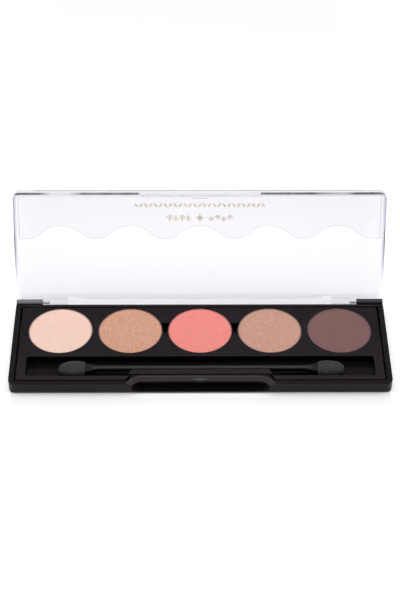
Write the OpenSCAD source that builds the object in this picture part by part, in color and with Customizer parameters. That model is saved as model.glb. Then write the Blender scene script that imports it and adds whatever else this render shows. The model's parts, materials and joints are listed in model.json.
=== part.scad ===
// Five-pan eyeshadow palette with a clear hinged lid and a double-ended sponge applicator.
// Millimetres, +Z up, +Y to the hinge side. The origin is the centre of the case underside,
// on the plane the case rests on. The lid is drawn leaning back against its stop.

/* [Case] */
// Outside width of the case
case_w = 152; // [151:0.5:158]
// Outside depth of the case without the hinge barrels
case_d = 46; // [45.5:0.5:50]
// Height of the base, from the underside to the land the lid closes on
base_h = 5; // [4.8:0.1:6]
// Height of the lid walls above the land, top plate included
lid_h = 4.1; // [4:0.1:6]
// Plan radius of the two front corners
corner_r = 3; // [2:0.5:4]
// Radius of the edge between the underside and the sides
edge_r = 1.2; // [0.6:0.1:1.2]
// Thickness of the floor of the base
floor_t = 0.9; // [0.8:0.1:1.2]
// Width of the land at the front and at the sides
land_w = 2.1; // [1.8:0.1:2.4]
// Width of the land along the hinge side
rear_land_w = 1.25; // [1:0.05:1.4]

/* [Pans] */
// Outside diameter of one powder pan
pan_d = 25.9; // [24:0.1:26]
// Distance between the centres of neighbouring pans
pan_pitch = 28.4; // [28:0.1:28.6]
// Height of one powder pan
pan_h = 3.05; // [2.6:0.05:3.1]
// Wall thickness of one powder pan
pan_t = 0.25; // [0.2:0.05:0.5]

/* [Applicator] */
// Overall length of the applicator
applicator_l = 114.1; // [100:0.1:118]
// Diameter of the round middle of the handle
handle_d = 2.6; // [2:0.1:2.8]
// Length of one sponge tip
tip_l = 10.75; // [9:0.25:13]
// Width of one sponge tip
tip_w = 7.4; // [6:0.1:8.5]
// Thickness of one sponge tip
tip_t = 4.2; // [3:0.1:4.6]

/* [Lid] */
// Angle between the open lid and its closed position
open_angle = 112.5; // [100:0.5:120]
// Thickness of the lid walls
lid_t = 1; // [0.9:0.1:1.4]
// Thickness of the lid plate outside the scalloped band
plate_t = 1.3; // [1.1:0.1:1.5]
// Extra thickness of the scalloped band near the free edge
band_t = 0.4; // [0.2:0.1:0.6]
// Width of the latch tab where it leaves the lid
tab_w = 49.4; // [44:0.2:50]
// Length of the latch tab below the lid wall
tab_l = 3.2; // [2.6:0.1:3.4]

/* [Hinge] */
// Radius of the hinge barrels on the lid
barrel_r = 1.2; // [1.1:0.05:1.2]
// Radius of the hinge ears on the base
ear_r = 1.4; // [1.2:0.05:1.4]
// Diameter of the two hinge pins
pin_d = 1; // [0.8:0.05:1.1]
// Width of each hinge ear on the base
ear_w = 10.85; // [9:0.05:11.5]
// Width of each hinge lug on the lid
lug_w = 10; // [8:0.1:11]

/* [Thumb recess] */
// Width of the flat back of the recess
recess_w = 45.1; // [40:0.1:46]
// Depth of the recess, measured back from the front face
recess_d = 2.65; // [2.4:0.05:2.8]
// Thickness of the lip left under the recess
lip_t = 1; // [0.9:0.1:1.4]

/* [Hidden] */
$fn = 96;
eps = 0.02;

front_y = -case_d / 2;
rear_y = case_d / 2;
rear_r = 0.8;                        // rear corners in plan, and upper edges of the lid

// Stacking heights
gap_lid = 0.1;                       // air between the land and the closed lid
lid_z = base_h + gap_lid;
lid_top = base_h + lid_h + gap_lid;
plate_z = lid_top - plate_t;           // underside of the thin lid plate
panel_z = base_h - 0.15;             // top of the insert panel
panel_t = 0.8;
well_floor_t = 0.6;
glue_t = 0.1;
glue_z = floor_t + well_floor_t;
pan_z = glue_z + glue_t;
powder_drop = 0.05;                  // powder surface below the pan rim

// Insert panel and wells
groove_w = 0.8;                      // visible gap between panel and land
rear_groove_w = 0.35;
panel_hw = case_w / 2 - land_w - groove_w;
panel_front = front_y + land_w + groove_w;
panel_rear = rear_y - rear_land_w - rear_groove_w;
skirt_t = 0.7;
well_r = pan_d / 2 + 0.1;
well_wall = 0.6;
pan_y = panel_rear - 0.5 - well_r;
notch_l = 8.6;                       // notches in the two bridges beside the middle pan
notch_rear_d = 1.4;
notch_front_d = 0.3;
peg_r = 0.8;
peg_h = 2.4;
peg_wall = 0.7;
peg_fit = 0.05;
peg_x = 1.5 * pan_pitch;
peg_rows = [pan_y - 10.6, pan_y + 10.4];

// Applicator trough
trough_hl = 69.6;
trough_rear = pan_y - well_r - 1.9;
trough_front = trough_rear - 10.9;
trough_floor_t = 0.5;
trough_floor = floor_t + trough_floor_t;
trough_wall = 0.7;
trough_r = 1;

// The front edge of land, panel and trough steps back behind the thumb recess
jog = 3.2;
land_jog_hw = 26.4;
trough_jog = 3.6;
trough_jog_hw = 26.2;

// Thumb recess
recess_back = front_y + recess_d;
recess_end_r = 5.49;
recess_cy = recess_back - recess_end_r;
recess_low_r = 2.2;                  // rounding of the lower corners, seen from the front
recess_side = recess_w / 2 + sqrt(pow(recess_end_r, 2) - pow(front_y - recess_cy, 2));
bevel_w = 2.4;
bevel_h = 0.8;
catch_l = 7.9;
catch_rear = 1.25;                   // the catch reaches this far behind the recess back
catch_front = 0.4;                   // and this far in front of it
catch_z = base_h - 1.1;
catch_h = 0.95;

// Hinge axis, behind the rear face
axis_y = rear_y + 1.45;
axis_z = base_h - 0.15;
ear_x0 = case_w / 2 - ear_w - 0.1;   // inner face of the ear
ear_x1 = case_w / 2 - 0.1;
lug_x1 = ear_x0 - 0.25;
lug_x0 = lug_x1 - lug_w;
pin_run = 0.03;                      // running clearance of the pin in the lug
pin_fit = 0.01;
pin_x0 = lug_x1 - 2.5;
pin_x1 = ear_x1 - 0.3;
bore_x0 = pin_x0 - 0.3;              // the bore in the lug is blind
heel_h = 1.6;
heel_gap = 0.01;
heel_inset = 0.3;
heel_wall = 0.85;                    // the heel keeps this far away from the pin axis
run_x0 = lug_x0 - 6.8;               // the rear lid wall runs out towards the lugs
run_x1 = lug_x0 - 1.6;

// Scalloped band of the lid
band_inset = 1.2;                    // from the inner faces of the lid walls
scallop_r = 12.3;
scallop_front = pan_y - 15.8;
scallop_tip = pan_y - 10.25;
scallop_y = scallop_front + scallop_r;
tip_rise = scallop_y - scallop_tip;
tip_r = (pow(tip_rise, 2) + pow(pan_pitch / 2, 2) - pow(scallop_r, 2)) / (2 * (scallop_r - tip_rise));
tip_y = scallop_tip - tip_r;
blend_y = scallop_y - (scallop_y - tip_y) * scallop_r / (scallop_r + tip_r);

// Latch bead on the tab
tab_taper = 1.1;
bead_l = 7;
bead_out = 1;
bead_z = catch_z - 0.9;

// Applicator position and blades
app_x = 0.45;
app_y = -12.85;
app_z = 3.6;
tip_cx = applicator_l / 2 - tip_w / 2;
tip_in = applicator_l / 2 - tip_l;
rod_hl = 42;
rod_taper = 4;
blade_in_w = 0.85;                   // half width and half thickness where a blade leaves the rod
blade_w = 2.3;                       // half width where it enters the sponge
blade_t = 0.75;
blade_end = applicator_l / 2 - 4.5;

// Label
label_w = 70;
label_d = 18;
label_y = 11;
label_r = 1.5;
label_gap = 0.3;
label_t = 0.14;                      // also the depth of its pocket, so it lies flush

// ---------- shared shapes ----------

// Plan outline with separate radii for the front and the rear corners
module outline2d(hw, y0, y1, rf, rr) {
    translate([-hw, y0 + rf]) square([2 * hw, y1 - y0 - rf - rr]);
    translate([-hw + rf, y0]) square([2 * (hw - rf), rf + eps]);
    translate([-hw + rr, y1 - rr - eps]) square([2 * (hw - rr), rr + eps]);
    for (s = [-1, 1]) {
        translate([s * (hw - rf), y0 + rf]) circle(rf);
        translate([s * (hw - rr), y1 - rr]) circle(rr);
    }
}

// Step of depth d in a front edge on y = 0, flat for |x| < hw, with an S-curve at each end
module jog2d(hw, d) {
    r = d / 2;
    translate([-hw, -1]) square([2 * hw, d + 1]);
    for (s = [-1, 1]) translate([s * hw, r]) circle(r);
    difference() {
        translate([-hw - d, -1]) square([2 * (hw + d), r + 1]);
        for (s = [-1, 1]) translate([s * (hw + d), r]) circle(r);
    }
}

module trough2d(grow) {
    difference() {
        outline2d(trough_hl + grow, trough_front - grow, trough_rear + grow,
                  trough_r + grow, trough_r + grow);
        translate([0, trough_front - grow]) jog2d(trough_jog_hw - grow, trough_jog);
    }
}

// Profile in the Y-Z plane, drawn out along X from x0 to x1
module along_x(x0, x1) {
    translate([x0, 0, 0]) rotate([90, 0, 90]) linear_extrude(x1 - x0) children();
}

// Profile in the X-Z plane, drawn out along Y from y0 to y1
module along_y(y0, y1) {
    translate([0, y1, 0]) rotate([90, 0, 0]) linear_extrude(y1 - y0) children();
}

module both_sides() {
    children();
    mirror([1, 0, 0]) children();
}

module at_pan(i) {
    translate([(i - 3) * pan_pitch, pan_y, 0]) children();
}

// ---------- base ----------

// Outside of the base with its rounded lower edge: the plan outline, trimmed by the
// front and side profiles
module base_block() {
    intersection() {
        linear_extrude(base_h) outline2d(case_w / 2, front_y, rear_y, corner_r, rear_r);
        along_x(-case_w / 2 - 1, case_w / 2 + 1) round_bottom2d(front_y, rear_y, edge_r);
        along_y(front_y - 1, rear_y + 1) round_bottom2d(-case_w / 2, case_w / 2, edge_r);
    }
}

// Section from a to b, as high as the base or more, with its two lower corners rounded
module round_bottom2d(a, b, r) {
    translate([a, r]) square([b - a, base_h]);
    translate([a + r, 0]) square([b - a - 2 * r, r]);
    for (x = [a + r, b - r]) translate([x, r]) circle(r);
}

module tray_cavity() {
    translate([0, 0, floor_t]) linear_extrude(base_h) difference() {
        outline2d(case_w / 2 - land_w, front_y + land_w, rear_y - rear_land_w, 1, 0.5);
        translate([0, front_y + land_w]) jog2d(land_jog_hw, jog);
    }
}

// Scooped recess for the thumb, with a bevel around its upper edge
module thumb_recess() {
    intersection() {
        translate([0, 0, lip_t]) linear_extrude(base_h) {
            for (s = [-1, 1]) translate([s * recess_w / 2, recess_cy]) circle(recess_end_r);
            translate([-recess_w / 2, recess_cy - recess_end_r])
                square([recess_w, 2 * recess_end_r]);
        }
        along_y(front_y - 8, recess_back + 1) {
            x = recess_side - recess_low_r;
            translate([-x, lip_t]) square([2 * x, base_h]);
            translate([-recess_side, lip_t + recess_low_r]) square([2 * recess_side, base_h]);
            for (s = [-1, 1]) translate([s * x, lip_t + recess_low_r]) circle(recess_low_r);
        }
    }
    z = base_h - bevel_h;
    for (s = [-1, 1])
        translate([s * recess_w / 2, recess_cy, z])
            cylinder(r1 = recess_end_r, r2 = recess_end_r + bevel_w, h = bevel_h);
    along_x(-recess_w / 2, recess_w / 2)
        polygon([[recess_cy, z], [recess_back, z], [recess_back + bevel_w, base_h],
                 [recess_cy, base_h]]);
}

// Lens-shaped catch on the upper edge of the recess back
module catch_lens() {
    d = (catch_rear + catch_front) / 2;
    r = (pow(catch_l / 2, 2) + pow(d, 2)) / (2 * d);
    translate([0, recess_back - catch_front + d, catch_z]) intersection() {
        translate([0, r - d, 0]) cylinder(r = r, h = catch_h);
        translate([0, d - r, 0]) cylinder(r = r, h = catch_h);
    }
}

module hinge_ear() {
    difference() {
        along_x(ear_x0, ear_x1) {
            translate([axis_y, axis_z]) circle(ear_r);
            polygon([[rear_y - 0.1, 1.7], [axis_y + ear_r, axis_z - 0.4],
                     [axis_y + ear_r, axis_z], [rear_y - 0.1, axis_z]]);
        }
        translate([ear_x0 - 1, axis_y, axis_z]) rotate([0, 90, 0])
            cylinder(r = pin_d / 2 + pin_fit, h = ear_w + 2);
    }
}

module base_tray() color("#1c1a1d") {
    difference() {
        base_block();
        tray_cavity();
        thumb_recess();
        translate([-label_w / 2, label_y - label_d / 2, -1])
            cube([label_w, label_d, 1 + label_t]);
    }
    catch_lens();
    both_sides() hinge_ear();
    for (y = peg_rows)
        both_sides() translate([peg_x, y, floor_t - eps]) cylinder(r = peg_r, h = peg_h + eps);
}

module underside_label() color("#c9c6c2")
    translate([0, label_y, 0])
        linear_extrude(label_t)
            outline2d(label_w / 2 - label_gap, -label_d / 2 + label_gap, label_d / 2 - label_gap,
                      label_r, label_r);

module hinge_pin() {
    translate([pin_x0, axis_y, axis_z]) rotate([0, 90, 0])
        cylinder(d = pin_d, h = pin_x1 - pin_x0);
}

module hinge_pin_left() color("#8f9296") mirror([1, 0, 0]) hinge_pin();
module hinge_pin_right() color("#8f9296") hinge_pin();

// ---------- insert panel ----------

module panel2d(inset) {
    difference() {
        outline2d(panel_hw - inset, panel_front + inset, panel_rear - inset, 0.8, 0.4);
        translate([0, panel_front + inset]) jog2d(land_jog_hw + groove_w + inset, jog);
    }
}

// Notch whose floor falls towards the hinge side
module bridge_notch() {
    along_x(pan_pitch / 2 - 2.5, pan_pitch / 2 + 2.5) translate([pan_y, panel_z])
        polygon([[-notch_l / 2, 1], [-notch_l / 2, -notch_front_d],
                 [notch_l / 2, -notch_rear_d], [notch_l / 2, 1]]);
}

module insert_panel() color("#242126") {
    difference() {
        union() {
            translate([0, 0, panel_z - panel_t]) linear_extrude(panel_t) panel2d(0);
            translate([0, 0, floor_t]) linear_extrude(panel_z - floor_t - eps) difference() {
                panel2d(0);
                panel2d(skirt_t);
            }
            translate([0, 0, floor_t]) linear_extrude(panel_z - floor_t - eps) intersection() {
                panel2d(0);
                union() {
                    for (i = [1:5]) translate([(i - 3) * pan_pitch, pan_y])
                        circle(well_r + well_wall);
                    trough2d(trough_wall);
                    for (y = peg_rows, s = [-1, 1]) translate([s * peg_x, y])
                        circle(peg_r + peg_fit + peg_wall);
                }
            }
        }
        for (i = [1:5]) at_pan(i) translate([0, 0, glue_z]) cylinder(r = well_r, h = base_h);
        translate([0, 0, trough_floor]) linear_extrude(base_h) trough2d(0);
        both_sides() bridge_notch();
        for (y = peg_rows) both_sides()
            translate([peg_x, y, floor_t - 1]) cylinder(r = peg_r + peg_fit, h = peg_h + 1.1);
    }
}

// ---------- pans and powders ----------

module pan_adhesive() color("#d8d2c4")
    for (i = [1:5]) at_pan(i) translate([0, 0, glue_z]) cylinder(d = pan_d - 4, h = glue_t);

module pan(i) color("#c4c2bf") at_pan(i) translate([0, 0, pan_z]) difference() {
    cylinder(d = pan_d, h = pan_h);
    translate([0, 0, pan_t]) cylinder(d = pan_d - 2 * pan_t, h = pan_h);
}

// Pressed powder with a slightly rounded-off rim
module powder(i) {
    r = pan_d / 2 - pan_t;
    top = pan_h - powder_drop;
    at_pan(i) translate([0, 0, pan_z]) rotate_extrude()
        polygon([[0, pan_t], [r, pan_t], [r, top - 0.15], [r - 0.25, top], [0, top]]);
}

module pan_1() pan(1);
module pan_2() pan(2);
module pan_3() pan(3);
module pan_4() pan(4);
module pan_5() pan(5);
module powder_1() color("#f3d6c4") powder(1);
module powder_2() color("#d9a587") powder(2);
module powder_3() color("#ee8c80") powder(3);
module powder_4() color("#cda08a") powder(4);
module powder_5() color("#825f5d") powder(5);

// ---------- lid ----------

// Band near the free edge whose border follows the pans
module scallop_band2d() {
    hw = case_w / 2 - lid_t - band_inset;
    intersection() {
        translate([-hw, front_y + lid_t + band_inset]) square([2 * hw, case_d]);
        union() {
            difference() {
                translate([-case_w, front_y]) square([2 * case_w, blend_y - front_y]);
                for (i = [1:5]) translate([(i - 3) * pan_pitch, scallop_y]) circle(scallop_r);
            }
            for (i = [0:5]) translate([(i - 2.5) * pan_pitch, tip_y]) circle(tip_r);
            for (s = [-1, 1]) translate([s * (2.5 * pan_pitch + 5) - 5, front_y])
                square([10, scallop_tip - front_y]);
        }
    }
}

// Outside of the lid with its rounded upper edge
module lid_block() {
    intersection() {
        translate([0, 0, lid_z]) linear_extrude(lid_top - lid_z)
            outline2d(case_w / 2, front_y, rear_y, corner_r, rear_r);
        along_x(-case_w / 2 - 1, case_w / 2 + 1)
            translate([0, lid_top]) mirror([0, 1]) round_bottom2d(front_y, rear_y, rear_r);
        along_y(front_y - 1, rear_y + 1)
            translate([0, lid_top]) mirror([0, 1]) round_bottom2d(-case_w / 2, case_w / 2, rear_r);
    }
}

module lid_shell() {
    difference() {
        lid_block();
        translate([0, 0, lid_z - 1]) linear_extrude(plate_z - lid_z + 1)
            outline2d(case_w / 2 - lid_t, front_y + lid_t, rear_y - lid_t, corner_r - lid_t, 0.5);
        both_sides() along_y(rear_y - lid_t - eps, rear_y + 1)
            polygon([[run_x0, lid_z - 1], [run_x0, lid_z], [run_x1, plate_z],
                     [lug_x0, plate_z], [lug_x0, lid_z - 1]]);
    }
    translate([0, 0, plate_z - band_t]) linear_extrude(band_t + eps) scallop_band2d();
}

// Tab that hangs into the thumb recess, with a bead that passes under the catch
module latch_tab() {
    z0 = lid_z - tab_l;
    along_y(front_y, front_y + lid_t)
        polygon([[-tab_w / 2, lid_z + eps], [-tab_w / 2 + tab_taper, z0],
                 [tab_w / 2 - tab_taper, z0], [tab_w / 2, lid_z + eps]]);
    along_x(-bead_l / 2, bead_l / 2) translate([front_y + lid_t, bead_z]) intersection() {
        circle(bead_out);
        translate([-0.1, -1]) square([1, 2]);
    }
}

module hinge_lug() {
    along_x(lug_x0, lug_x1) {
        translate([axis_y, axis_z]) circle(barrel_r);
        polygon([[rear_y - lid_t, lid_z], [rear_y + 0.1, lid_z], [axis_y, axis_z],
                 [axis_y + barrel_r, axis_z], [axis_y + 0.9, axis_z + 1.3],
                 [rear_y, lid_top - 1], [rear_y - lid_t, lid_top - 1]]);
    }
}

// Block beside the barrel that lands on the rear face of the base; drawn for the open lid
module stop_heel() {
    along_x(lug_x0 + heel_inset, lug_x1 - heel_inset)
        polygon([[rear_y + heel_gap, axis_z], [rear_y + heel_gap, axis_z - heel_h],
                 [axis_y, axis_z - heel_h], [axis_y, axis_z - heel_wall],
                 [axis_y - heel_wall, axis_z]]);
}

module lid() color("#e9ebf2", 0.35) {
    difference() {
        union() {
            translate([0, axis_y, axis_z]) rotate([-open_angle, 0, 0])
                translate([0, -axis_y, -axis_z]) {
                    lid_shell();
                    latch_tab();
                    both_sides() hinge_lug();
                }
            both_sides() stop_heel();
        }
        both_sides() translate([bore_x0, axis_y, axis_z]) rotate([0, 90, 0])
            cylinder(r = pin_d / 2 + pin_run, h = lug_w);
    }
}

// ---------- applicator ----------

// Flat blade that carries one sponge, widening from the round handle
module blade() {
    intersection() {
        translate([0, 0, -2]) linear_extrude(4)
            polygon([[rod_hl - 1, -blade_in_w], [tip_in, -blade_w], [blade_end, -blade_w + 0.5],
                     [blade_end, blade_w - 0.5], [tip_in, blade_w], [rod_hl - 1, blade_in_w]]);
        along_y(-4, 4)
            polygon([[rod_hl - 1, -blade_in_w], [tip_in, -blade_t], [blade_end, -blade_t + 0.15],
                     [blade_end, blade_t - 0.15], [tip_in, blade_t], [rod_hl - 1, blade_in_w]]);
    }
}

module applicator_handle() color("#19181a")
    translate([app_x, app_y, app_z]) {
        translate([-rod_hl, 0, 0]) rotate([0, 90, 0]) cylinder(d = handle_d, h = 2 * rod_hl);
        both_sides() translate([rod_hl, 0, 0]) rotate([0, 90, 0])
            cylinder(r1 = handle_d / 2, r2 = blade_in_w / 2, h = rod_taper);
        both_sides() blade();
    }

// Flattened tip: straight towards the handle, a half-round pill at the outer end
module sponge_tip() {
    r = tip_t / 2;
    c = tip_w / 2 - r;
    difference() {
        union() {
            along_x(tip_in, tip_cx) {
                translate([-c, -r]) square([2 * c, tip_t]);
                for (s = [-1, 1]) translate([s * c, 0]) circle(r);
            }
            translate([tip_cx, 0, 0]) rotate([0, 0, -90]) rotate_extrude(angle = 180)
                intersection() {
                    union() {
                        translate([c, 0]) circle(r);
                        translate([0, -r]) square([c, tip_t]);
                    }
                    translate([0, -r]) square([tip_w, tip_t]);
                }
        }
        blade();
    }
}

module sponge_tip_left() color("#4a4a4c")
    translate([app_x, app_y, app_z]) mirror([1, 0, 0]) sponge_tip();

module sponge_tip_right() color("#4a4a4c")
    translate([app_x, app_y, app_z]) sponge_tip();

// ---------- nodes ----------

base_tray();
insert_panel();
pan_adhesive();
pan_1();
pan_2();
pan_3();
pan_4();
pan_5();
powder_1();
powder_2();
powder_3();
powder_4();
powder_5();
hinge_pin_left();
hinge_pin_right();
underside_label();
lid();
applicator_handle();
sponge_tip_left();
sponge_tip_right();
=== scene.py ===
"""Looks for a five-pan eyeshadow palette: clear lid leaning open, powders, sponge applicator.

Everything is in metres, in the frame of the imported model: X along the length, Y to the
hinge, Z up, origin under the middle of the case.
"""

import json
import math

import bmesh
import bpy
from mathutils import Matrix, Vector, noise


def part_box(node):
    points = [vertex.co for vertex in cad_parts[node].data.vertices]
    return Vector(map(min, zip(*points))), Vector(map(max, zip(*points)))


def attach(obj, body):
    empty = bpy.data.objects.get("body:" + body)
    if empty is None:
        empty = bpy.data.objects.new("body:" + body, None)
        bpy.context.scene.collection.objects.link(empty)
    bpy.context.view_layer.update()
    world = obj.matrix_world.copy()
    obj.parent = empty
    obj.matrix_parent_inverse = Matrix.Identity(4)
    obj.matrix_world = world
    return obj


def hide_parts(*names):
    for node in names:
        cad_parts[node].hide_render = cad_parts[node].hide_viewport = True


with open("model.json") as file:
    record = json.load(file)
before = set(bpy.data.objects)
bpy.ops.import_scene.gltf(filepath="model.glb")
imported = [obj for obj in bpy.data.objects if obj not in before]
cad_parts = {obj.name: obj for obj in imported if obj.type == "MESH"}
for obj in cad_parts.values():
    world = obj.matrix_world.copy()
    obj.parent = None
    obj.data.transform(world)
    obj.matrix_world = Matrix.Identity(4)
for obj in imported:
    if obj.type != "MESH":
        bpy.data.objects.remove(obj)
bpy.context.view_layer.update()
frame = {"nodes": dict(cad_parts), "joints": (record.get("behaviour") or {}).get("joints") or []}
NODES = frame["nodes"]
SCENE = bpy.context.scene
MM = 0.001
WHITE = (1.0, 1.0, 1.0, 1.0)

# From the closed lid to the open lid, as it is stored
HINGE = next(j for j in frame["joints"] if j["name"] == "lid_hinge")
OPEN = (Matrix.Translation(HINGE["pos_m"])
        @ Matrix.Rotation(math.radians(-HINGE["range_deg"][1]), 4, "X")
        @ Matrix.Translation([-c for c in HINGE["pos_m"]]))
# Outside of the case
HALF_WIDTH = 76 * MM
HALF_DEPTH = 23 * MM
# Heights on the closed lid: outside of the plate, the plate and its thicker band inside, wall ends
PLATE_TOP = 9.2 * MM
PLATE_Z = 7.9 * MM
BAND_Z = 7.5 * MM
RIM_Z = 5.1 * MM
BELOW_RIM_Z = 4.9 * MM
# Inside faces of the lid walls, a little into the plastic
SIDE_WALL_X = 74.95 * MM
FRONT_WALL_Y = -21.95 * MM
REAR_WALL_Y = 21.9 * MM
CLEAR = (0.99, 0.988, 0.995)
# Tint of the reflections in the black plastic
PURPLISH = (1.0, 0.84, 0.95, 1.0)
BLACK = (0.0035, 0.0028, 0.0034)
# Border of the scalloped band: arcs around the pans, joined by smaller arcs
PITCH = 28.4 * MM
SCALLOP_Y, SCALLOP_R = 4.35 * MM, 12.3 * MM
TIP_Y, TIP_R = -11.04 * MM, 8.64 * MM
BLEND_Y = -4.69 * MM
LINE_HALF = 0.17 * MM
# Painted light on the end face of the front wall: how light it is painted, from the left end to
# the right
RIM_PAINTED_LIGHT = ((0.0, 0.02), (0.075, 0.01), (0.105, 0.80), (0.15, 0.70), (0.185, 0.06), (0.33, 0.03),
             (0.67, 0.03), (0.80, 0.01), (0.84, 0.22), (0.89, 0.30), (0.915, 0.01), (1.0, 0.02))


# ---------- node helpers ----------


class Shade:
    """A material with one Principled shader and short calls for the usual texture nodes."""

    def __init__(self, name, color, roughness=0.5, metallic=0.0, **sockets):
        self.mat = bpy.data.materials.new(name)
        self.mat.use_nodes = True
        self.tree = self.mat.node_tree
        self.tree.nodes.clear()
        self.out = self.tree.nodes.new("ShaderNodeOutputMaterial")
        self.bsdf = self.tree.nodes.new("ShaderNodeBsdfPrincipled")
        self.link(self.bsdf.outputs[0], self.out.inputs["Surface"])
        self.bsdf.inputs["Base Color"].default_value = (*color, 1.0)
        self.bsdf.inputs["Roughness"].default_value = roughness
        self.bsdf.inputs["Metallic"].default_value = metallic
        for key, value in sockets.items():
            self.bsdf.inputs[key.replace("_", " ")].default_value = value
        self.where = self.tree.nodes.new("ShaderNodeTexCoord").outputs["Object"]

    def link(self, a, b):
        self.tree.links.new(a, b)

    def node(self, kind, **props):
        made = self.tree.nodes.new(kind)
        for key, value in props.items():
            setattr(made, key, value)
        return made

    def noise(self, size, detail=3.0, rough=0.55, stretch=None, distort=0.0):
        """Noise between 0 and 1 with blobs about size metres across."""
        tex = self.node("ShaderNodeTexNoise")
        tex.inputs["Scale"].default_value = 1.0 / size
        tex.inputs["Detail"].default_value = detail
        tex.inputs["Roughness"].default_value = rough
        tex.inputs["Distortion"].default_value = distort
        self.link(self.stretched(stretch), tex.inputs["Vector"])
        return tex.outputs["Fac"]

    def cells(self, size, output="Distance"):
        """Cell pattern with cells about size metres across."""
        tex = self.node("ShaderNodeTexVoronoi", feature="F1")
        tex.inputs["Scale"].default_value = 1.0 / size
        self.link(self.where, tex.inputs["Vector"])
        return tex.outputs[output]

    def stretched(self, stretch):
        """The object's coordinates, scaled by stretch if it is given."""
        if stretch is None:
            return self.where
        mapping = self.node("ShaderNodeMapping")
        mapping.inputs["Scale"].default_value = stretch
        self.link(self.where, mapping.inputs["Vector"])
        return mapping.outputs["Vector"]

    def ramp(self, value, *stops):
        """Colour ramp over (position, colour or grey) stops."""
        node = self.node("ShaderNodeValToRGB")
        elements = node.color_ramp.elements
        while len(elements) < len(stops):
            elements.new(0.5)
        for element, (at, tone) in zip(elements, stops):
            element.position = at
            rgb = (tone,) * 3 if isinstance(tone, float) else tone
            element.color = (*rgb, 1.0)
        self.link(value, node.inputs["Fac"])
        return node.outputs["Color"]

    def scaled(self, value, low, high, at=(0.0, 1.0)):
        """value moved from the span at to the span low to high."""
        rng = self.node("ShaderNodeMapRange")
        rng.inputs["From Min"].default_value = at[0]
        rng.inputs["From Max"].default_value = at[1]
        rng.inputs["To Min"].default_value = low
        rng.inputs["To Max"].default_value = high
        self.link(value, rng.inputs["Value"])
        return rng.outputs["Result"]

    def along(self, axis, offset=0.0):
        """Distance in metres along a direction of the rest pose, plus an offset."""
        dot = self.node("ShaderNodeVectorMath", operation="DOT_PRODUCT")
        dot.inputs[1].default_value = axis
        self.link(self.where, dot.inputs[0])
        return self.math("ADD", dot.outputs["Value"], offset)

    def closed_lid(self, axis):
        """Coordinate along an axis of the case, measured as if the lid were closed."""
        turned = OPEN.to_3x3() @ Vector(axis)
        pivot = Vector(HINGE["pos_m"])
        return self.along(turned, Vector(axis).dot(pivot) - turned.dot(pivot))

    def near(self, value, middle, reach):
        """1 where value is within reach of middle, else 0."""
        node = self.node("ShaderNodeMath", operation="COMPARE")
        self.link(value, node.inputs[0])
        node.inputs[1].default_value = middle
        node.inputs[2].default_value = reach
        return node.outputs[0]

    def math(self, operation, a, b):
        """Result of a math node on two values, each a number or a socket."""
        node = self.node("ShaderNodeMath", operation=operation)
        for socket, value in zip(node.inputs, (a, b)):
            if isinstance(value, (int, float)):
                socket.default_value = value
            else:
                self.link(value, socket)
        return node.outputs[0]

    def mix(self, fac, a, b):
        """Mix of two colours, each a tuple or a socket."""
        node = self.node("ShaderNodeMix", data_type="RGBA")
        for socket, value in ((node.inputs[0], fac), (node.inputs[6], a), (node.inputs[7], b)):
            if isinstance(value, tuple):
                socket.default_value = (*value, 1.0)
            elif isinstance(value, (int, float)):
                socket.default_value = value
            else:
                self.link(value, socket)
        return node.outputs[2]

    def color(self, socket):
        self.link(socket, self.bsdf.inputs["Base Color"])

    def rough(self, socket):
        self.link(socket, self.bsdf.inputs["Roughness"])

    def length(self, vector):
        """Length of a vector socket."""
        node = self.node("ShaderNodeVectorMath", operation="LENGTH")
        self.link(vector, node.inputs[0])
        return node.outputs["Value"]

    def across(self):
        """Distance in metres from the middle plane between the left and right halves."""
        return self.math("ABSOLUTE", self.along((1, 0, 0)), 0.0)

    def relief(self, *layers, edge=0.0):
        """Bump layers of (height socket, depth in metres) over rounded edges of radius edge."""
        normal = None
        if edge:
            bevel = self.node("ShaderNodeBevel", samples=6)
            bevel.inputs["Radius"].default_value = edge
            normal = bevel.outputs["Normal"]
        for height, depth in layers:
            bump = self.node("ShaderNodeBump")
            bump.inputs["Distance"].default_value = depth
            self.link(height, bump.inputs["Height"])
            if normal:
                self.link(normal, bump.inputs["Normal"])
            normal = bump.outputs["Normal"]
        self.link(normal, self.bsdf.inputs["Normal"])
        return self

    def on(self, *names):
        """Gives this material to CAD nodes."""
        for name in names:
            mesh = NODES[name].data
            mesh.materials.clear()
            mesh.materials.append(self.mat)
        return self


# ---------- materials ----------


def moulded_black(name, color, rough, gloss, grain, grain_depth, edge, tint=PURPLISH):
    """Injection-moulded black plastic with soft gloss changes, fine grain and a little dust."""
    s = Shade(name, color, rough, Specular_IOR_Level=gloss, Specular_Tint=tint)
    cloud = s.noise(22 * MM, 4, 0.6)
    specks = s.ramp(s.noise(0.35 * MM, 1, 0.4), (0.0, 0.0), (0.775, 0.0), (0.83, 1.0))
    base = s.mix(cloud, tuple(c * 0.8 for c in color), tuple(c * 1.25 for c in color))
    dusty = s.math("MULTIPLY", specks, 0.28)
    s.color(s.mix(dusty, base, (0.16, 0.15, 0.16)))
    s.rough(s.scaled(cloud, rough * 0.8, rough * 1.25, (0.3, 0.7)))
    s.relief((s.noise(grain, 2, 0.5), grain_depth), (s.noise(6 * MM, 1, 0.4), 9e-6), edge=edge)
    return s


def dull_inside(s, front, rear):
    """Gloss of the insert: less towards the hinge, and little in the wells and the trough."""
    level = s.scaled(s.along((0, 1, 0)), front, rear, (-18 * MM, 18 * MM))
    deep = s.scaled(s.along((0, 0, 1)), 0.4, 1.0, (4.5 * MM, 4.8 * MM))
    s.link(s.math("MULTIPLY", level, deep), s.bsdf.inputs["Specular IOR Level"])
    return s


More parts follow.
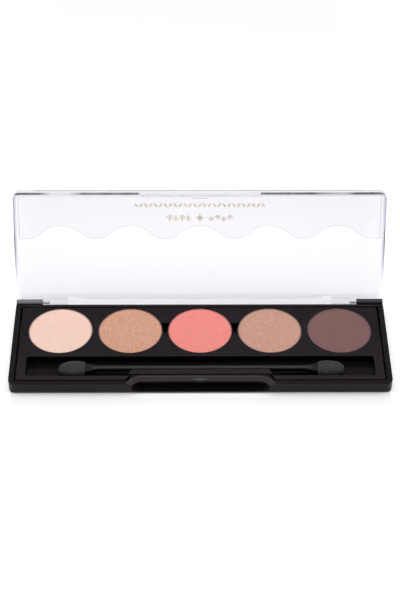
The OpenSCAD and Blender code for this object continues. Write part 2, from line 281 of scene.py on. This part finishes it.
def painted_ear_highlights(s):
    """Painted highlights: the hinge ears of the case are painted lighter on top, the left one more
    than the right one.
    """
    behind = s.scaled(s.along((0, 1, 0)), 0.0, 1.0, (23.0 * MM, 23.3 * MM))
    on_top = s.scaled(s.along((0, 0, 1)), 0.0, 1.0, (4.7 * MM, 5.6 * MM))
    side = s.scaled(s.along((1, 0, 0)), 1.0, 0.16, (-60 * MM, 60 * MM))
    fac = s.math("MULTIPLY", s.math("MULTIPLY", behind, on_top), side)
    plain = s.bsdf.inputs["Base Color"].links[0].from_socket
    eared = s.mix(fac, plain, (0.16, 0.15, 0.175))
    # and the lens-shaped catch gets a painted highlight too
    catch = s.math("MULTIPLY", s.near(s.along((0, 0, 1)), 4.85 * MM, 0.02 * MM),
                   s.math("LESS_THAN", s.along((0, 1, 0)), 0.0))
    s.color(s.mix(catch, eared, (0.045, 0.045, 0.047)))
    return s


def pressed_powder(name, light, dark, rough, sparkle=0.0, fleck=WHITE[:3]):
    """Pressed powder: fine grain and faint mottling, with optional glitter."""
    s = Shade(name, light, rough, Specular_IOR_Level=0.3)
    grain = s.noise(0.3 * MM, 3, 0.75)
    mottle = s.noise(2.4 * MM, 4, 0.6, distort=0.8)
    tone = s.math("ADD", s.math("MULTIPLY", grain, 0.84), s.math("MULTIPLY", mottle, 0.16))
    base = s.ramp(tone, (0.38, dark), (0.61, light))
    if sparkle:
        flakes = s.cells(0.2 * MM, "Color")
        split = s.node("ShaderNodeSeparateColor")
        s.link(flakes, split.inputs[0])
        shine = s.ramp(split.outputs[0], (0.0, 0.0), (1 - sparkle, 0.0), (1.0, 1.0))
        base = s.mix(s.math("MULTIPLY", shine, 0.6), base, fleck)
        s.link(s.math("MULTIPLY", shine, 0.85), s.bsdf.inputs["Metallic"])
        s.rough(s.scaled(shine, rough, 0.32))
    s.color(base)
    return s.relief((grain, 30e-6), (mottle, 16e-6))


def satin(s, amount):
    """Adds the low soft gloss of a satin powder."""
    s.bsdf.inputs["Sheen Weight"].default_value = amount
    s.bsdf.inputs["Sheen Roughness"].default_value = 0.4
    return s


def off_arc(s, dx, ahead, middle, radius):
    """Distance to the arc of a circle, given the distance dx to its middle across the case."""
    to = s.node("ShaderNodeCombineXYZ")
    s.link(dx, to.inputs["X"])
    s.link(s.math("SUBTRACT", ahead, middle), to.inputs["Y"])
    return s.math("SUBTRACT", s.length(to.outputs[0]), radius)


def scallop_line(s, across, ahead):
    """1 on a thin line along the border of the scalloped band."""
    run = s.math("PINGPONG", s.math("MINIMUM", across, 2.5 * PITCH), PITCH / 2)
    arc = s.near(off_arc(s, run, ahead, SCALLOP_Y, SCALLOP_R), LINE_HALF, LINE_HALF)
    back = s.math("SUBTRACT", PITCH / 2, run)
    tip = s.near(off_arc(s, back, ahead, TIP_Y, TIP_R), -LINE_HALF, LINE_HALF)
    rear = s.math("GREATER_THAN", ahead, BLEND_Y)
    return s.math("ADD", s.math("MULTIPLY", tip, rear),
                  s.math("MULTIPLY", arc, s.math("SUBTRACT", 1.0, rear)))


def clear_plastic():
    """Clear polished plastic that lets lamps through, with faint haze and handling marks."""
    s = Shade("lid_clear", CLEAR, 0.015, IOR=1.49, Transmission_Weight=1.0)
    high = s.closed_lid((0, 0, 1))
    ahead = s.closed_lid((0, 1, 0))
    across = s.across()
    # the band is a little greyer than the plate; painted shade: dark lines are painted along its
    # scalloped border and on its step
    on_band = s.near(high, BAND_Z, 0.03 * MM)
    tint = s.mix(on_band, CLEAR, (0.85, 0.835, 0.90))
    tint = s.mix(s.math("MULTIPLY", on_band, scallop_line(s, across, ahead)), tint,
                 (0.66, 0.65, 0.69))
    tint = s.mix(s.near(high, BAND_Z + 0.2 * MM, 0.165 * MM), tint, (0.02, 0.02, 0.05))
    # painted shade: the ends of the band are painted as a grey stripe on the plate beside the side
    # walls
    border = s.math("MULTIPLY", s.near(across, 74.1 * MM, 0.42 * MM),
                    s.math("LESS_THAN", ahead, -2.5 * MM))
    tint = s.mix(s.math("MULTIPLY", border, s.near(high, PLATE_Z, 0.1 * MM)), tint,
                 (0.66, 0.64, 0.76))
    # painted shade: the end faces of the walls are painted greyer, and that of the front wall
    # dark, standing in for how it looks when it sees along the plastic
    on_rim = s.near(high, RIM_Z, 0.04 * MM)
    tint = s.mix(on_rim, tint, (0.62, 0.60, 0.72))
    front = s.math("LESS_THAN", ahead, FRONT_WALL_Y)
    dark_rim = s.math("MULTIPLY", on_rim, front)
    streak = s.noise(9 * MM, 3, 0.6, stretch=(1.0, 0.02, 0.02))
    lit = s.ramp(s.scaled(s.along((1, 0, 0)), 0.0, 1.0, (-HALF_WIDTH, HALF_WIDTH)), *RIM_PAINTED_LIGHT)
    dark = s.mix(s.scaled(streak, 0.0, 0.35, (0.42, 0.62)), lit, (0.20, 0.19, 0.23))
    s.color(s.mix(dark_rim, tint, dark))
    smear = s.noise(7 * MM, 3, 0.5, stretch=(0.35, 1.0, 1.0), distort=1.2)
    s.rough(s.ramp(smear, (0.45, 0.012), (0.75, 0.05)))
    s.relief((s.noise(14 * MM, 1, 0.4), 12e-6), (s.noise(0.5 * MM, 2, 0.5), 0.5e-6))
    # walls, tab and lugs are partly let straight through, so their edges stay light
    at_side = s.math("GREATER_THAN", across, SIDE_WALL_X)
    ends = s.math("MAXIMUM", front, s.math("GREATER_THAN", ahead, REAR_WALL_Y))
    run = s.scaled(ahead, 0.0, 1.0, (-HALF_DEPTH, HALF_DEPTH))
    share = s.ramp(run, (0.0, 0.60), (0.25, 0.50), (0.42, 0.12), (0.60, 0.25), (0.75, 0.60),
                   (0.90, 0.85))
    # painted shade: what shows through the side walls is tinted greyer towards the front
    grey = s.ramp(run, (0.0, (0.72, 0.70, 0.79)), (0.45, (0.84, 0.82, 0.92)),
                  (0.80, (0.95, 0.945, 0.96)))
    side = s.math("MULTIPLY", s.math("MAXIMUM", at_side, ends), share)
    low = s.math("MULTIPLY", s.math("LESS_THAN", high, BELOW_RIM_Z), s.scaled(front, 0.6, 0.85))
    light = s.math("MULTIPLY", s.math("MAXIMUM", side, low), s.math("SUBTRACT", 1.0, dark_rim))
    # lamps shine straight through the lid
    through = s.node("ShaderNodeBsdfTransparent")
    s.link(s.mix(at_side, (0.94, 0.935, 0.95), grey), through.inputs["Color"])
    choose = s.node("ShaderNodeMixShader")
    path = s.node("ShaderNodeLightPath")
    s.link(s.math("MAXIMUM", path.outputs["Is Shadow Ray"], light), choose.inputs[0])
    s.link(s.bsdf.outputs[0], choose.inputs[1])
    s.link(through.outputs[0], choose.inputs[2])
    s.link(choose.outputs[0], s.out.inputs["Surface"])
    return s


def metal(name, color, rough, lines=None):
    """Bare metal with fine marks, drawn out along an axis if lines is given."""
    s = Shade(name, color, rough, 1.0)
    mark = s.noise(0.5 * MM, 3, 0.6, stretch=lines)
    s.rough(s.scaled(mark, rough * 0.7, rough * 1.4, (0.3, 0.7)))
    s.color(s.mix(mark, tuple(c * 0.86 for c in color), color))
    return s.relief((mark, 3e-6))


def paper(name, color):
    """Matt paper or film with short fibres."""
    s = Shade(name, color, 0.75)
    fibre = s.noise(0.4 * MM, 5, 0.7, stretch=(1.0, 0.4, 1.0))
    s.color(s.mix(fibre, tuple(c * 0.9 for c in color), color))
    return s.relief((fibre, 10e-6))


def foam():
    """Dark fine-celled foam, darker in the middle of each cell and lighter towards its edges."""
    s = Shade("sponge_foam", (0.05, 0.05, 0.052), 0.95, Specular_IOR_Level=0.2, Sheen_Weight=0.3)
    s.bsdf.inputs["Sheen Roughness"].default_value = 0.25
    cell = s.cells(0.5 * MM)
    fuzz = s.noise(0.22 * MM, 4, 0.7)
    tone = s.math("MULTIPLY", cell, s.scaled(fuzz, 0.6, 1.5, (0.3, 0.7)))
    s.color(s.ramp(tone, (0.12, (0.002, 0.002, 0.0022)), (0.62, (0.042, 0.042, 0.0435))))
    return s.relief((cell, 0.12 * MM), (fuzz, 0.05 * MM))


painted_ear_highlights(moulded_black("case_black", BLACK, 0.13, 0.22, 0.7 * MM, 1.5e-6,
                             0.12 * MM)).on("base_tray")
dull_inside(moulded_black("insert_black", (0.0040, 0.0030, 0.0038), 0.18, 0.0, 0.16 * MM,
                          2e-6, 0.2 * MM), 0.37, 0.13).on("insert_panel")
moulded_black("handle_black", BLACK, 0.14, 0.30, 0.4 * MM, 1.5e-6, 0.1 * MM,
              WHITE).on("applicator_handle")
# The rims of the pans carry a little of their powder
DUSTY_RIMS = ((0.42, 0.33, 0.29), (0.34, 0.22, 0.17), (0.42, 0.20, 0.18), (0.30, 0.21, 0.18),
              (0.22, 0.16, 0.157))
for number, dust in enumerate(DUSTY_RIMS, 1):
    metal("pan_metal_%d" % number, dust, 0.42).on("pan_%d" % number)
metal("pin_steel", (0.56, 0.56, 0.57), 0.25,
      (0.1, 1.0, 1.0)).on("hinge_pin_left", "hinge_pin_right")
paper("label_paper", (0.76, 0.75, 0.72)).on("underside_label")
paper("adhesive", (0.68, 0.64, 0.55)).on("pan_adhesive")
satin(pressed_powder("powder_ivory", (0.79, 0.56, 0.475), (0.66, 0.435, 0.345), 0.55),
      0.25).on("powder_1")
pressed_powder("powder_copper", (0.60, 0.315, 0.21), (0.40, 0.175, 0.106), 0.5, 0.22,
               (1.0, 0.78, 0.62)).on("powder_2")
pressed_powder("powder_coral", (0.76, 0.255, 0.225), (0.62, 0.17, 0.148), 0.85).on("powder_3")
satin(pressed_powder("powder_nude", (0.51, 0.28, 0.21), (0.385, 0.195, 0.14), 0.6, 0.08,
                     (1.0, 0.85, 0.72)), 0.2).on("powder_4")
pressed_powder("powder_plum", (0.195, 0.10, 0.095), (0.13, 0.064, 0.062), 0.85).on("powder_5")
clear_plastic().on("lid")

for item in NODES.values():
    for face in item.data.polygons:
        face.use_smooth = True


# ---------- sponge tips ----------


TIP_RINGS, TIP_SIDES = 52, 84
# Where a tip is widest, from the handle side (0) to the outer end (1)
TIP_WIDEST = 0.36
# Rings that close the handle side: how far along, and their size
TIP_CAP = ((0.0, 0.03), (0.0, 0.35), (0.0, 0.65), (0.0, 0.86), (0.006, 0.94))
TIP_START = 0.03
# Powers of the rounded outline seen from above, from the side, and along the handle
WIDE_POWER, THICK_POWER, PILL_POWER = 2.1, 2.8, 2.6


def tip_surface(lo, hi, outer):
    """Foam tip filling the box lo to hi: full towards the handle, an egg end outside."""
    mesh = bmesh.new()
    mid, half = (lo + hi) / 2, (hi - lo) / 2
    body = [(TIP_START + (1 - TIP_START) * math.sin(k / TIP_RINGS * math.pi / 2), 1.0)
            for k in range(TIP_RINGS)]
    rings = []
    for along, size in (*TIP_CAP, *body):
        swell = max(0.0, (along - TIP_WIDEST) / (1 - TIP_WIDEST))
        lean = max(0.0, (TIP_WIDEST - along) / TIP_WIDEST)
        wide = (1 - swell ** WIDE_POWER) ** (1 / WIDE_POWER) * (1 - 0.20 * lean * lean) * size
        thick = (1 - swell ** THICK_POWER) ** 0.5 * (1 - 0.18 * lean * lean) * size
        ring = []
        for i in range(TIP_SIDES):
            t = i / TIP_SIDES * 2 * math.pi
            c, d = math.cos(t), math.sin(t)
            pill = (abs(c) ** PILL_POWER + abs(d) ** PILL_POWER) ** (-1 / PILL_POWER)
            ring.append(mesh.verts.new((mid.x + outer * half.x * (2 * along - 1),
                                        mid.y + half.y * wide * c * pill,
                                        mid.z + half.z * thick * d * pill)))
        rings.append(ring)
    pole = mesh.verts.new((mid.x + outer * half.x, mid.y, mid.z))
    for a, b in zip(rings, rings[1:]):
        for i in range(TIP_SIDES):
            j = (i + 1) % TIP_SIDES
            mesh.faces.new((a[i], a[j], b[j], b[i]))
    for i in range(TIP_SIDES):
        mesh.faces.new((rings[-1][i], rings[-1][(i + 1) % TIP_SIDES], pole))
    mesh.faces.new(rings[0])
    bmesh.ops.recalc_face_normals(mesh, faces=mesh.faces[:])
    return mesh


def sponge(node, outer):
    """Foam tip in the box of a CAD tip, with pores, outer being the way it points along X."""
    lo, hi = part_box(node)
    skin = Vector((0.1, 0.1, 0.1)) * MM
    mesh = tip_surface(lo + skin, hi - skin, outer)
    mesh.normal_update()
    for v in mesh.verts:
        pore = noise.noise(v.co / (0.5 * MM)) * 0.07 + noise.noise(v.co / (1.8 * MM)) * 0.05
        v.co += v.normal * pore * MM
    piece = link_mesh(node + "_foam", mesh, FOAM)
    for face in piece.data.polygons:
        face.use_smooth = True
    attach(piece, "applicator")
    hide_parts(node)


def link_mesh(name, mesh, material):
    """A linked object made from a bmesh, which is freed."""
    data = bpy.data.meshes.new(name)
    mesh.to_mesh(data)
    mesh.free()
    data.materials.append(material)
    piece = bpy.data.objects.new(name, data)
    SCENE.collection.objects.link(piece)
    return piece


FOAM = foam().mat
sponge("sponge_tip_left", -1)
sponge("sponge_tip_right", 1)


# ---------- gold ornament on the lid ----------

FOIL = 0.02 * MM
FOIL_GAP = 0.003 * MM
# Rows of the ornament, counted along Y on the closed lid
BORDER_Y = -16.5 * MM
SCROLL_Y = -11.1 * MM
LEAF = (2.3 * MM, 1.2 * MM)
LEAF_SIDES = 16
WAVE_STEPS = 24


def leaf(mesh, x, y, length, width, angle):
    """A flat pointed leaf on the outer face of the closed lid."""
    rim = []
    for i in range(LEAF_SIDES):
        t = i / LEAF_SIDES * 2 * math.pi
        u = math.cos(t) * length / 2
        w = math.sin(t) * width / 2 * (1 - 0.6 * abs(math.cos(t)))
        rim.append(mesh.verts.new((x + u * math.cos(angle) - w * math.sin(angle),
                                   y + u * math.sin(angle) + w * math.cos(angle), 0.0)))
    mesh.faces.new(rim)


def ribbon(mesh, path, width):
    """A flat line of even width along the path points."""
    left, right = [], []
    for i, (x, y) in enumerate(path):
        x0, y0 = path[max(i - 1, 0)]
        x1, y1 = path[min(i + 1, len(path) - 1)]
        run = math.hypot(x1 - x0, y1 - y0)
        nx, ny = (y0 - y1) / run * width / 2, (x1 - x0) / run * width / 2
        left.append(mesh.verts.new((x + nx, y + ny, 0.0)))
        right.append(mesh.verts.new((x - nx, y - ny, 0.0)))
    for i in range(len(path) - 1):
        mesh.faces.new((left[i], right[i], right[i + 1], left[i + 1]))


def wave(x0, x1, y, height, turns):
    """Points of a sine wave with a whole number of turns."""
    steps = WAVE_STEPS * turns
    return [(x0 + (x1 - x0) * i / steps, y + height * math.sin(i / WAVE_STEPS * 2 * math.pi))
            for i in range(steps + 1)]


def ornament():
    """A running border and a wave scroll in gold foil on the outside of the lid plate."""
    mesh = bmesh.new()
    for i in range(-13, 14):
        leaf(mesh, i * 2.0 * MM, BORDER_Y, *LEAF, math.radians(55 if i % 2 else -55))
    for side in (-1, 1):
        ribbon(mesh, wave(side * 3.4 * MM, side * 13.6 * MM, SCROLL_Y, 1.1 * MM, 2), 0.45 * MM)
        for k in range(4):
            bend = -0.25 * MM if k % 2 else 0.25 * MM
            leaf(mesh, side * (4.7 + 2.55 * k) * MM, SCROLL_Y + side * bend, *LEAF,
                 math.radians(90))
    # a star between the two halves of the scroll
    for size, turn in ((4.4, 0), (4.4, 90), (2.6, 45), (2.6, -45)):
        leaf(mesh, 0.0, SCROLL_Y, size * MM, 1.0 * MM, math.radians(turn))
    solid = bmesh.ops.extrude_face_region(mesh, geom=mesh.faces[:])
    for v in solid["geom"]:
        if isinstance(v, bmesh.types.BMVert):
            v.co.z += FOIL
    bmesh.ops.recalc_face_normals(mesh, faces=mesh.faces[:])
    bmesh.ops.translate(mesh, verts=mesh.verts[:], vec=(0, 0, PLATE_TOP + FOIL_GAP))
    bmesh.ops.transform(mesh, matrix=OPEN, verts=mesh.verts[:])
    s = Shade("gold_foil", (0.96, 0.92, 0.60), 0.45, 0.1)
    worn = s.noise(0.5 * MM, 4, 0.6)
    s.color(s.mix(worn, (0.95, 0.90, 0.60), (0.99, 0.97, 0.75)))
    s.rough(s.scaled(worn, 0.35, 0.6, (0.3, 0.7)))
    s.relief((worn, 4e-6))
    piece = link_mesh("lid_ornament", mesh, s.mat)
    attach(piece, "cover")


ornament()


# ---------- floor, light and camera ----------


def floor():
    """Pale paper under the palette, with a painted shadow in front of the case, kept nearly white
    around it by a painted glow.
    """
    mesh = bmesh.new()
    bmesh.ops.create_grid(mesh, x_segments=8, y_segments=8, size=3.0)
    s = Shade("floor_paper", (0.87, 0.87, 0.87), 0.9, Specular_IOR_Level=0.1)
    fibre = s.noise(2.0 * MM, 4, 0.6)
    pale = s.mix(fibre, (0.865, 0.865, 0.867), (0.875, 0.875, 0.875))
    # painted shadow: a soft shadow is painted on the paper in front of the case, reaching out a
    # few millimetres
    out = s.scaled(s.along((0, 1, 0)), 0.0, 1.0, (-HALF_DEPTH, -HALF_DEPTH - 12 * MM))
    soft = s.ramp(out, (0.0, 0.03), (0.3, 0.09), (0.8, 0.0))
    across = s.across()
    beside = s.scaled(across, 1.0, 0.0, (70 * MM, 82 * MM))
    s.color(s.mix(s.math("MULTIPLY", soft, beside), pale, (0.0, 0.0, 0.0)))
    # far from the palette the paper fades into the white backdrop
    far = s.scaled(s.length(s.where), 0.0, 1.0, (0.4, 1.0))
    # and beside the case a painted glow, seen only by the camera, keeps it white
    glow = s.math("MULTIPLY", s.scaled(across, 0.24, 0.0, (HALF_WIDTH, HALF_WIDTH + 14 * MM)),
                  s.scaled(s.along((0, 1, 0)), 0.0, 1.0, (-34 * MM, -18 * MM)))
    glow = s.math("MULTIPLY", glow, s.math("GREATER_THAN", across, HALF_WIDTH - 1 * MM))
    seen = s.node("ShaderNodeLightPath").outputs["Is Camera Ray"]
    s.bsdf.inputs["Emission Color"].default_value = WHITE
    s.link(s.math("MULTIPLY", s.math("MAXIMUM", far, glow), seen),
           s.bsdf.inputs["Emission Strength"])
    link_mesh("floor", mesh, s.mat)


def softbox(name, at, target, size, power):
    """A rectangular lamp at a place, facing a target."""
    lamp = bpy.data.lights.new(name, "AREA")
    lamp.shape = "RECTANGLE"
    lamp.size, lamp.size_y = size
    lamp.energy = power
    item = bpy.data.objects.new(name, lamp)
    item.location = at
    item.rotation_euler = (Vector(target) - Vector(at)).to_track_quat("-Z", "Y").to_euler()
    SCENE.collection.objects.link(item)


# Brightness of the room from the camera's side (0) to the side behind the palette (1)
ROOM = ((0.05, 0.12), (0.35, 0.32), (0.60, 0.44), (0.95, 0.54))
# What the room looks like through the edges of the clear lid
THROUGH = (0.62, 0.60, 0.68, 1.0)


def studio():
    """A room brighter behind the palette, a white backdrop and three softboxes."""
    world = bpy.data.worlds.new("studio")
    world.use_nodes = True
    SCENE.world = world
    tree = world.node_tree
    back = tree.nodes["Background"]
    where = tree.nodes.new("ShaderNodeTexCoord")
    split = tree.nodes.new("ShaderNodeSeparateXYZ")
    tree.links.new(where.outputs["Generated"], split.inputs[0])
    ramp = tree.nodes.new("ShaderNodeValToRGB")
    for at, tone in ROOM:
        spot = ramp.color_ramp.elements.new(at)
        spot.color = (tone, tone, tone * 1.01, 1.0)
    half = tree.nodes.new("ShaderNodeMapRange")
    half.inputs["From Min"].default_value = -1.0
    tree.links.new(split.outputs["Y"], half.inputs["Value"])
    tree.links.new(half.outputs["Result"], ramp.inputs["Fac"])
    path = tree.nodes.new("ShaderNodeLightPath")
    sky = ramp.outputs["Color"]
    for kind, tone in (("Is Transmission Ray", THROUGH), ("Is Camera Ray", WHITE)):
        mix = tree.nodes.new("ShaderNodeMix")
        mix.data_type = "RGBA"
        tree.links.new(path.outputs[kind], mix.inputs[0])
        tree.links.new(sky, mix.inputs[6])
        mix.inputs[7].default_value = tone
        sky = mix.outputs[2]
    tree.links.new(sky, back.inputs["Color"])
    back.inputs["Strength"].default_value = 1.0
    softbox("top_soft", (0.0, -0.05, 1.1), (0, -0.05, 0), (2.2, 1.3), 14.0)
    softbox("left_soft", (-1.0, 0.0, 0.6), (0, 0, 0), (0.5, 0.7), 3.6)
    softbox("right_soft", (1.0, 0.0, 0.6), (0, 0, 0), (0.5, 0.7), 2.7)


# Camera: the palette is turned by YAW in front of a camera at ELEVATION, and SHIFT is where the
# camera's axis passes the origin, to the right and up
DISTANCE = 649.9 * MM
ELEVATION = math.radians(43.05)
YAW = math.radians(0.693)
ROLL = math.radians(0.376)
SHIFT = (-0.19 * MM, 21.19 * MM)
LENS = 95.98


def camera():
    """A long lens in front of the palette, looking down at it."""
    lens = bpy.data.cameras.new("camera")
    lens.lens = LENS
    lens.sensor_width = 36.0
    lens.clip_start = 0.01
    lens.clip_end = 20.0
    item = bpy.data.objects.new("camera", lens)
    turn = Matrix.Rotation(-YAW, 3, "Z")
    right = turn @ Vector((1, 0, 0))
    up = turn @ Vector((0, math.sin(ELEVATION), math.cos(ELEVATION)))
    ahead = turn @ Vector((0, math.cos(ELEVATION), -math.sin(ELEVATION)))
    at = right * SHIFT[0] + up * SHIFT[1] - ahead * DISTANCE
    x = right * math.cos(ROLL) + up * math.sin(ROLL)
    y = up * math.cos(ROLL) - right * math.sin(ROLL)
    pose = Matrix((x, y, -ahead)).transposed().to_4x4()
    pose.translation = at
    item.matrix_world = pose
    SCENE.collection.objects.link(item)
    SCENE.camera = item


floor()
studio()
camera()
SCENE.view_settings.view_transform = "Standard"
